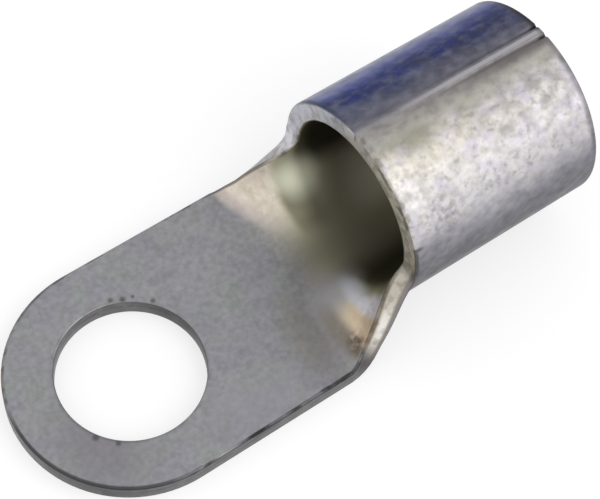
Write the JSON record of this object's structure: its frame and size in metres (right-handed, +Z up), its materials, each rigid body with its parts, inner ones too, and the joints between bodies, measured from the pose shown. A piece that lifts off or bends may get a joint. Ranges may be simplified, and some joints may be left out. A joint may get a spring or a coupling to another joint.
{
  "type": "ring terminal",
  "caption": "Bare ring terminal: a flat round-nosed tongue with a bolt hole, curled up at its other end into a round crimp barrel with a brazed seam along the top.",
  "frame": {"origin": "middle of the bolt hole, on the underside of the tongue", "axes": "+Z up out of the tongue along the bolt, +X along the terminal towards the barrel, +Y across it"},
  "size_m": [0.0426, 0.0176, 0.015],
  "materials": {
    "tinned_copper": "satin tin plating over copper, lightly mottled, with heat colour beside the brazed seam"
  },
  "bodies": {
    "root": {"terminal": "tinned_copper"}
  },
  "joints": []
}
